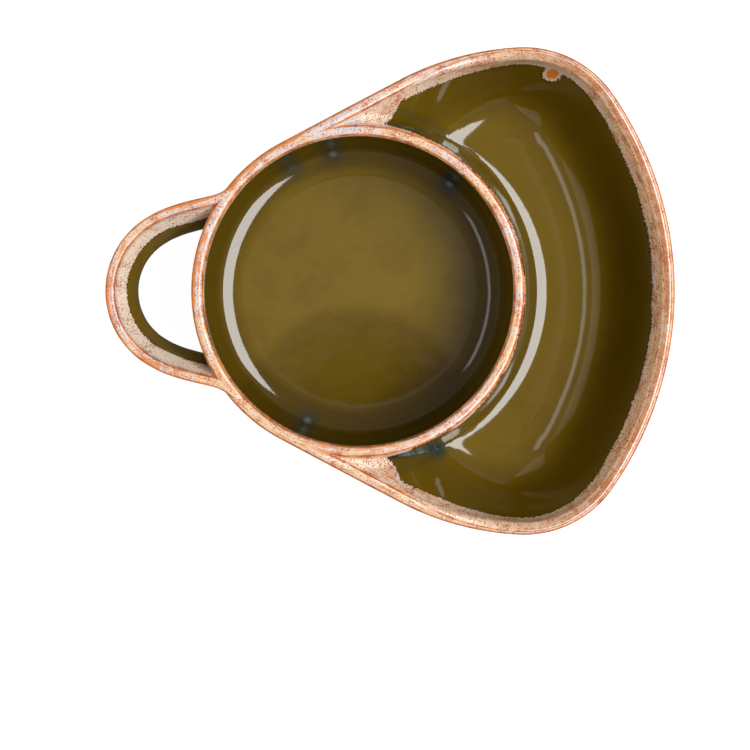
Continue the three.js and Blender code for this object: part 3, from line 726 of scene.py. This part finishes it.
# How the glaze lies on it; the fades run from one x or radius to another
glazing = {
    "bandCup": 3.5, "bandTray": 13.5, "bandLean": 0.4, "bandLeft": 7.6, "bandRight": 10.8,
    "bandFade": (-31.0, -25.0), "lipShift": 6.2, "lipFade": (10.0, 70.0),
    # painted shade: the cup's floor darkens towards its wall, sooner on the right, where the right wall
    # shades it
    "cupDark": (46.0, 58.0), "cupShadeSooner": 14.0, "cupEdge": (52.6, 54.6),
    "darkReflectionAt": (-2.0, -48.0), "darkReflectionHalf": (46.0, 41.0),  # a painted reflection: a darker oval on the cup's floor
    "cupPools": (119, 101, 50, -112), "cupPoolHalf": 4.5,  # at the foot of the cup's wall, degrees
    "cupPoolRing": (60.0, 4.0), "cupFootRing": (61.5, 2.2), "dividerFootRing": (78.0, 1.6),
    # painted shade: the tray darker towards its outer wall and the divider's foot, the outside darker towards
    # the bottom
    "wallDark": (38.0, 29.0), "dividerDark": (84.0, 76.0), "outsideDark": (45.0, 5.0),
    "pocketEnd": 22.0, "pocketBand": (13.0, 3.0), "pocketFade": (13.0, 21.0),  # cream where the walls part
    "webFade": (22.0, 18.0), "webFrom": (3.9, 4.6), "webTo": (5.0, 4.0),
    "crease": (3.0, 8.0), "creasePool": (1.2, 1.6),  # behind and in front
    "creaseFrom": (11.0, 15.0), "creaseTo": (40.0, 31.0),
    "outerPools": [  # share of the half girth, rise, half width, half height and depth
        (0.15, 0.0, 15, 6, 0.75), (0.264, -9.7, 10, 5, 0.7), (0.377, -10.0, 6, 6, 0.7),
        (0.333, -13.0, 10, 3, 0.6), (0.541, -14.0, 8, 4, 0.6), (0.7, -14.0, 8, 4, 0.6),
        (0.9, -10.0, 12, 5, 0.5)],
}
behind = stationAt(0, 1)

# Glaze has run off the sprigs and pooled beside them: a tree of the raised outlines, and the larger pools
outlinePoints = []
for raised in drawings.values():
    outlinePoints += raised.points
    for corners in raised.stars:
        for a, b in zip(corners, corners[1:] + corners[:1]):
            outlinePoints += [a.lerp(b, n / 12) for n in range(12)]
outlineTree = treeOf(outlinePoints)


def outsidePool(s, along, z):
    girth = table(rimAlongs, girths, along)
    rise = (z - sprigs["height"]) * hypot(1, slope(s, sprigs["height"]))
    near = outlineTree.find((girth, rise + 0.8, 0))[2]
    pool = 0.72 * bell(max(near, 0.6), 0.6, 1.9)
    for share, level, wide, high, depth in glazing["outerPools"]:
        pool += depth * bell(girth, share * halfGirth, wide) * bell(rise, level, high)
    return min(pool + 0.3 * ease(z, 12, 2), 0.78)


def cupPath():  # radius and height from the floor's middle to the top of the rim
    lipZ = plan["rim"] - halfWall
    zs = [mix(plan["floor"] - bowl["below"], lipZ, k / 240) for k in range(241)]
    rs = [plan["cupRadius"] - inside(behind, z) for z in zs]
    path = []
    for k in range(300):
        r = bowl["cupReach"] * k / 299
        cove = plan["floor"] + max(r - bowl["cupFlat"], 0) ** 2 / (2 * bowl["cupCove"])
        path.append(Vector((r, softMax(cove, table(rs, zs, r), bowl["cupBlend"]))))
    path += [Vector((r, z)) for r, z in zip(rs, zs) if z > path[-1].y + 0.1]
    for k in range(1, 33):
        a = pi / 2 * k / 32
        path.append(Vector((ridge - halfWall * cos(a), lipZ + halfWall * sin(a))))
    return path


def dividerZ(r, rim):
    lipZ = rim - halfWall
    if r < plan["cupRadius"]:
        return lipZ + sqrt(max(halfWall ** 2 - (r - ridge) ** 2, 0))
    cove = plan["floor"] + max(bowl["trayFlat"] - r, 0) ** 2 / (2 * bowl["trayCove"])
    fall = 1 - ((r - plan["cupRadius"]) / bowl["dividerSpread"]) ** (1 / bowl["dividerBelly"])
    return softMax(cove, min(rim * fall, lipZ), bowl["dividerBlend"])


rimStations = [stationAt(halfRim * k / 3000, 1) for k in range(3001)]
rimTree = treeOf([s["at"] for s in rimStations])


def leaning(s, z):
    return inside(s, z) + s["lean"] * plan["leanDepth"] * (1 - exp((z - s["lipZ"]) / plan["leanDepth"]))


def wallZ(x, y):  # inside of the outer wall as a height, with the distance inside the rim's plan
    _, k, d = rimTree.find((x, abs(y), 0))
    s = rimStations[k]
    if d < s["lipIn"]:
        half = (s["lipIn"] - s["lipOut"]) / 2
        across = (d - s["lipOut"] - half) / half
        return s["lipZ"] + halfWall * sqrt(max(1 - across * across, 0)), d, s
    low, high = plan["floor"] - bowl["wallBlend"], s["lipZ"]
    for _ in range(18):  # halve towards the height where the wall is this far in
        z = (low + high) / 2
        if leaning(s, z) > d:
            low = z
        else:
            high = z
    flatFrom = leaning(s, plan["floor"]) + bowl["wallRun"]
    cove = plan["floor"] + max(flatFrom - d, 0) ** 2 / (2 * bowl["wallCove"])
    return softMax(cove, low, bowl["wallBlend"]), d, s


def trayZ(x, y, rim):
    a = dividerZ(hypot(x, y), rim)
    b, d, s = wallZ(x, y)
    low, high = min(a, b), max(a, b)
    top = max(rim, s["rim"])
    k = min(bowl["trayBlend"], 1.2 * (low - plan["floor"]), 2 * (top - high))
    return min(softMax(a, b, k), top), d, s, a - b


cupRows = spaced(cupPath(), bowl["cupRows"], 4.0)
cupRise = [0.0]
for a, b in zip(cupRows[:0:-1], cupRows[-2::-1]):
    cupRise.append(cupRise[-1] + (b - a).length)  # distance from the rim's top
cupRise.reverse()


def columnAlongs():
    start, end, fade, extra = bowl["closer"]
    alongs, weights = [0.0], [0.0]
    for k in range(1, 1001):
        alongs.append(halfRim * k / 1000)
        past = alongs[-1] - rimLine[0][0]
        crowd = ease(past, start - fade, start) * ease(past, end + fade, end)
        weights.append(weights[-1] + 1 + extra * crowd)
    half = bowl["columns"] // 2
    return [table(weights, alongs, weights[-1] * k / half) for k in range(half + 1)]


columnPlan = columnAlongs()


def bandOutside(x):
    return mix(glazing["bandLeft"], glazing["bandRight"], ease(x, *glazing["bandFade"]))


def lipShift(x):  # the tray's lip is narrower than the cup's
    return glazing["lipShift"] * ease(x, *glazing["lipFade"])


def pastCupLip(r, z, rim):
    if r < plan["cupRadius"]:
        return (r - ridge) * pi / 2
    return lipRun + hypot(r - plan["cupRadius"], rim - halfWall - z)


def pastOuterLip(d, z, s):
    if d < s["lipIn"]:
        return lipRun * min(abs(d - (s["lipIn"] + s["lipOut"]) / 2) / halfWall, 1)
    return lipRun + hypot(s["lipIn"] - d, s["lipZ"] - z)


# Each part of a column gives places with their edge, rim, web, tone and painted shade, and pool
def cupPoints(ray, rim):
    lift = (rim - plan["floor"]) / (plan["rim"] - plan["floor"])
    turn = degrees(ray.angle_signed(Vector((1, 0))))
    pooled = sum(bell(turn, a, glazing["cupPoolHalf"]) for a in glazing["cupPools"])
    # painted shade: darker towards the cup's wall, starting sooner on the right
    darkFrom, darkTo = glazing["cupDark"]
    darkFrom -= glazing["cupShadeSooner"] * max(ray.x, 0)
    (frontX, frontY), (halfX, halfY) = glazing["darkReflectionAt"], glazing["darkReflectionHalf"]
    for p, rise in zip(cupRows, cupRise):
        x, y = ray.x * p.x, ray.y * p.x
        z = plan["floor"] + (p.y - plan["floor"]) * lift
        front = hypot((x - frontX) / halfX, (y - frontY) / halfY)
        toneAndShade = 0.4 * ease(p.x, darkFrom, darkTo) + 0.4 * ease(p.x, *glazing["cupEdge"])
        # painted reflection: a dark oval on the front of the cup's floor
        toneAndShade += 0.6 * ease(1.1 - front, 0, 0.22)
        pool = 0.96 * pooled * bell(p.x, *glazing["cupPoolRing"]) + 0.12 * bell(p.x, *glazing["cupFootRing"])
        yield Vector((x, y, z)), rise - glazing["bandCup"], -rise, -ease(rise, 2.5, 3.5), toneAndShade, pool


def trayPoints(ray, rim, reach, topZ):
    samples = []
    for k in range(241):
        r = mix(ridge, reach, 0.5 - 0.5 * cos(pi * k / 240))
        samples.append(Vector((r, trayZ(ray.x * r, ray.y * r, rim)[0])))
    for p in spaced(samples, bowl["trayRows"], 4.0):
        x, y = ray.x * p.x, ray.y * p.x
        z, d, near, across = trayZ(x, y, rim)
        if p.x >= reach - 1e-4:
            z = topZ
        fromCup, fromOuter = pastCupLip(p.x, z, rim), pastOuterLip(d, z, near)
        bandTray = glazing["bandTray"] * (1 - glazing["bandLean"] * near["lean"])
        edge = min(fromCup - glazing["bandCup"], fromOuter - bandTray)
        if x < glazing["pocketEnd"]:
            pocket = mix(*glazing["pocketBand"], ease(x, *glazing["pocketFade"]))
            edge = min(edge, max(rim, near["rim"]) - z - pocket)
        rimSide = -fromOuter - lipShift(x) if fromOuter < fromCup else -fromCup
        web = ease(x, *glazing["webFade"]) * ease(fromCup, *glazing["webFrom"])
        web *= ease(p.x - plan["cupRadius"], *glazing["webTo"])
        crease = bell(across, 0, glazing["crease"][y < 0]) * glazing["creasePool"][y < 0]
        crease *= ease(x, *glazing["creaseFrom"]) * ease(x, *glazing["creaseTo"])
        pool = 0.35 * bell(p.x, *glazing["dividerFootRing"]) + crease
        # painted shade: darker towards the tray's outer wall and the divider's foot, less where the wall
        # leans
        wallReach, wallFade = glazing["wallDark"]
        toneAndShade = max(ease(near["lipIn"] + wallReach - d, 0, wallFade), 0.4)
        toneAndShade = max(toneAndShade, 0.55 * ease(p.x, *glazing["dividerDark"])) * (1 - 0.6 * near["lean"])
        yield Vector((x, y, z)), edge, rimSide, web, toneAndShade, pool


def lipPoints(s):
    half = (s["lipIn"] - s["lipOut"]) / 2
    for k in range(1, bowl["lipRows"] + 1):
        a = pi / 2 * k / bowl["lipRows"]
        p = s["at"] - s["out"] * (s["lipOut"] + half * (1 - sin(a)))
        shoulder = mix(-lipShift(p.x), halfWall * a, min(a / 0.9, 1))
        yield Vector((p.x, p.y, s["lipZ"] + halfWall * cos(a))), -4.0, shoulder, 0, 0.5, 0


def wallPoints(s, along):
    for k in range(1, bowl["wallRows"] + 1):
        z = mix(s["lipZ"], bowl["skirt"], k / bowl["wallRows"])
        p = s["at"] - s["out"] * outside(s, z)
        drop = s["rim"] - z
        # painted shade: the outside darker towards the bottom
        toneAndShade = mix(0.35, 0.75, ease(z, *glazing["outsideDark"]))
        yield Vector((p.x, p.y, z)), drop - bandOutside(p.x), drop + 1.5, 0, toneAndShade, outsidePool(s, along, z)


def underPoints(s):
    plain = (9, 9, 0, 0.6, 0)  # well below the cream
    for inward, z in ((0.5, bowl["skirt"] - 0.15), (1.0, plan["foot"])):
        p = s["at"] - s["out"] * (outside(s, bowl["skirt"]) + inward)
        yield Vector((p.x, p.y, z)), *plain
    for share in (0.12, 0.5, 1.0):
        q = p.lerp(Vector(bowl["underside"]), share)
        yield Vector((q.x, q.y, plan["foot"])), *plain


def bowlColumn(n):
    half = bowl["columns"] // 2
    along = columnPlan[n if n <= half else 2 * half - n]
    s = stationAt(along, -1 if n <= half else 1)
    top = s["at"] - s["out"] * (s["lipOut"] + s["lipIn"]) / 2
    ray = top.normalized()
    rim = cupRim(plan["cupRadius"] * ray.x)
    skin = [*cupPoints(ray, rim), *trayPoints(ray, rim, top.length, s["rim"]),
            *lipPoints(s), *wallPoints(s, along), *underPoints(s)]
    return [(place, along, *values) for place, *values in skin]


def bowlPiece():
    columns = [bowlColumn(n) for n in range(bowl["columns"])]

    def place(v, column, row):
        v.co, *values = columns[column % bowl["columns"]][row]
        return values

    bm = gridOf(bowl["columns"], len(columns[0]) - 1, place, glazeLayers)
    closeUp(bm)
    return newPiece("bowlBody", bm, "floor_slab", "outer_wall", "divider_wall", material=glaze, slot="glaze")


bowlBody = bowlPiece()
print("bowl made:", len(bowlBody.data.polygons), "faces")

# Foot ring: bare clay just inside the glaze's lower edge
foot = {"columns": 240, "width": 7.0, "round": 0.45, "behindGlaze": 0.35, "gap": 0.05, "chamfer": (1.2, 0.25)}


def footPiece():
    r, width, top = foot["round"], foot["width"], plan["foot"] - foot["gap"]
    across, down = foot["chamfer"]  # under the glaze
    section = [(0, top - down), (0, r), (r * 0.3, r * 0.3), (r, 0), (width - r, 0),
               (width - r * 0.3, r * 0.3), (width, r), (width, top), (across, top), (0, top - down)]

    def place(v, column, row):
        share = 2 * (column % foot["columns"]) / foot["columns"]
        s = stationAt(halfRim * (share if share <= 1 else 2 - share), -1 if share <= 1 else 1)
        inward, z = section[row]
        p = s["at"] - s["out"] * (outside(s, z) + foot["behindGlaze"] + inward)
        v.co = (p.x, p.y, z)
        return ()

    bm = gridOf(foot["columns"], len(section) - 1, place)
    closeUp(bm)
    newPiece("footRing", bm, "foot_ring", material=bareClay, slot="bare_clay")


footPiece()
print("foot made")

# Handle: a leaning strap swept round the loop, its ends run into the wall
handle = {
    "line": [(-106.38, 0), (-104.9, 10.2), (-100.6, 19.6), (-94.2, 27.0), (-87, 32), (-80, 35.2), (-74, 37.1),
             (-68.5, 38.5), (-63.7, 39.6), (-59.6, 40.7), (-56.4, 42.3), (-53.6, 44.6), (-51.2, 47.1),
             (-49.3, 48.6)],
    "steps": 150, "top": plan["rim"], "depth": 25.0, "lean": 6.0,
    "rimWidth": 4.2, "heelWidth": 6.4, "round": 1.6, "hide": 67.4,
    "bandOut": 6.6, "bandLeft": 9.5, "bandIn": 12.4, "leftFade": (88.0, 100.0),
}


def strapSection():
    r, top, low = handle["round"], handle["top"], handle["top"] - handle["depth"]
    corners = [(-r, top - r, 90, 0), (-handle["lean"] - r, low + r, 0, -90),
               (-handle["lean"] - handle["heelWidth"] + r, low + r, -90, -180),
               (r - handle["rimWidth"], top - r, 180, 90)]
    section = []
    for k, (x, z, start, end) in enumerate(corners):
        arc = [(x + r * cos(radians(mix(start, end, n / 5))), z + r * sin(radians(mix(start, end, n / 5))))
               for n in range(6)]
        if section:
            a, b = Vector(section[-1]), Vector(arc[0])
            section += [tuple(a.lerp(b, n / 9)) for n in range(1, 9)] if k % 2 else [tuple(a.lerp(b, 0.5))]
        section += arc
    return section + [section[0]]


def handlePiece():
    half = [Vector(p) for p in handle["line"]]
    loop = smoothLine([Vector((p.x, -p.y)) for p in half[:0:-1]] + half, 0.4)
    line = spaced(loop, handle["steps"] + 1, 2.0)
    section = strapSection()
    count, middle = len(section) - 1, handle["rimWidth"] / 2

    def place(v, column, row):
        ahead = line[min(column + 1, handle["steps"])] - line[max(column - 1, 0)]
        out = Vector((-ahead.y, ahead.x)).normalized()
        across, z = section[row % count]
        q = line[column] + out * across
        if q.length < handle["hide"]:  # inside the wall
            q = q.normalized() * mix(handle["hide"], q.length, 0.1)
        v.co = (q.x, q.y, z)
        drop = handle["top"] - z
        along = abs(column - handle["steps"] / 2) * 1.2
        left = ease(-q.x, *handle["leftFade"])
        toneAndShade, pool = 0.35, 0.5 * ease(drop, 12, 24) * left + 0.4 * ease(-q.length, -76, -70)
        if across < -handle["lean"] * drop / handle["depth"] - middle:  # the strap's inner face
            rim, web = max(across + middle - drop, -4.1), 0.9 * ease(drop, 1.5, 4)
            return along, drop - handle["bandIn"], rim, web, toneAndShade, pool
        band = mix(handle["bandOut"], handle["bandLeft"], left)
        return along, drop - band, across + middle + 1.3 * drop, 0, toneAndShade, pool

    bm = gridOf(handle["steps"], count, place, glazeLayers)
    bmesh.ops.remove_doubles(bm, verts=bm.verts, dist=0.004)
    bmesh.ops.holes_fill(bm, edges=[e for e in bm.edges if e.is_boundary], sides=0)
    closeUp(bm)
    newPiece("handleLoop", bm, "handle_loop", material=glaze, slot="glaze")


handlePiece()
print("handle made")

# Stage: pale floor, soft light from above on the tray's side, camera straight above
studio = {
    "floor": 12.0, "floorColor": rgb(160, 160, 160), "floorGlow": 0.86,
    "softbox": {"at": (0.86, -0.06, 1.4), "size": (0.7, 1.7), "power": 34.0},
    "fill": {"at": (-0.66, 0.0, 1.5), "size": (0.14, 0.9), "power": 0.8},
    "wash": {"at": (-1.2, 0.0, 0.48), "size": (0.6, 0.8), "power": 7.0, "mirrored": False},
    "sky": (0.2, 0.48, 0.15), "cap": 0.24,  # overhead, at the horizon and below it; more straight above
    "patch": (-0.007, -0.037), "patchScale": 36.0,  # a dark patch in the sky overhead
    "cameraZ": 1.553, "lens": 171.4, "shift": (-0.0213, -0.112),
}


def floorPiece():
    bm = bmesh.new()
    bmesh.ops.create_circle(bm, cap_ends=True, segments=96, radius=studio["floor"])
    mesh = bpy.data.meshes.new("floor")
    bm.to_mesh(mesh)
    bm.free()
    floor = bpy.data.objects.new("floor", mesh)
    bpy.context.collection.objects.link(floor)
    material, w, shader, place = newMaterial("floorPaper", 0.7, 1.4)
    w.put(shader.inputs["Base Color"], w.blend(
        w.ramp(w.noise(place, 3.0, 2.0), 0.3, 0.7, 0.0, 0.03), studio["floorColor"], rgb(154, 154, 154)))
    shader.inputs["Emission Color"].default_value = (1, 1, 1, 1)
    shader.inputs["Emission Strength"].default_value = studio["floorGlow"]
    mesh.materials.append(material)
    floor.visible_glossy = False  # the glaze doesn't mirror the floor


def softLight(name, settings):
    data = bpy.data.lights.new(name, "AREA")
    data.shape = "RECTANGLE"
    data.size, data.size_y = settings["size"]
    data.energy = settings["power"]
    light = bpy.data.objects.new(name, data)
    light.location = settings["at"]
    light.visible_glossy = settings.get("mirrored", True)
    light.rotation_euler = Vector(settings["at"]).to_track_quat("Z", "X").to_euler()
    bpy.context.collection.objects.link(light)


def skyDome():
    world = bpy.data.worlds.new("studio")
    world.use_nodes = True
    w = Wires(world.node_tree)
    toward = world.node_tree.nodes.new("ShaderNodeTexCoord").outputs["Generated"]
    height = w.apart(toward)[2]
    top, level, under = studio["sky"]
    above = w.plus(w.ramp(height, 0.05, 0.7, level, top), w.ramp(height, 0.9984, 0.9996, 0.0, studio["cap"]))
    (x, y), k = studio["patch"], studio["patchScale"]
    fromPatch = w.distance(w.scaled(toward, (k, k, 0.0)), (k * x, k * y, 0.0))
    fromPatch = w.plus(fromPatch, w.ramp(height, 0.5, 0.0, 0.0, 9.0))  # in the upper half only
    above = w.times(above, w.ramp(fromPatch, 0.8, 1.1))
    w.put(world.node_tree.nodes["Background"].inputs["Strength"],
          w.times(above, w.ramp(height, -0.15, 0.0, under, 1.0)))
    world.node_tree.nodes["Background"].inputs["Color"].default_value = (1, 1, 1, 1)
    bpy.context.scene.world = world


floorPiece()
for name in ("softbox", "fill", "wash"):
    softLight(name, studio[name])
skyDome()
lens = bpy.data.cameras.new("camera")
lens.lens, lens.sensor_width = studio["lens"], 36.0
lens.shift_x, lens.shift_y = studio["shift"]
camera = bpy.data.objects.new("camera", lens)
camera.location = (0, 0, studio["cameraZ"])
bpy.context.collection.objects.link(camera)
bpy.context.scene.camera = camera
bpy.context.scene.view_settings.view_transform = "Standard"
print("stage made")
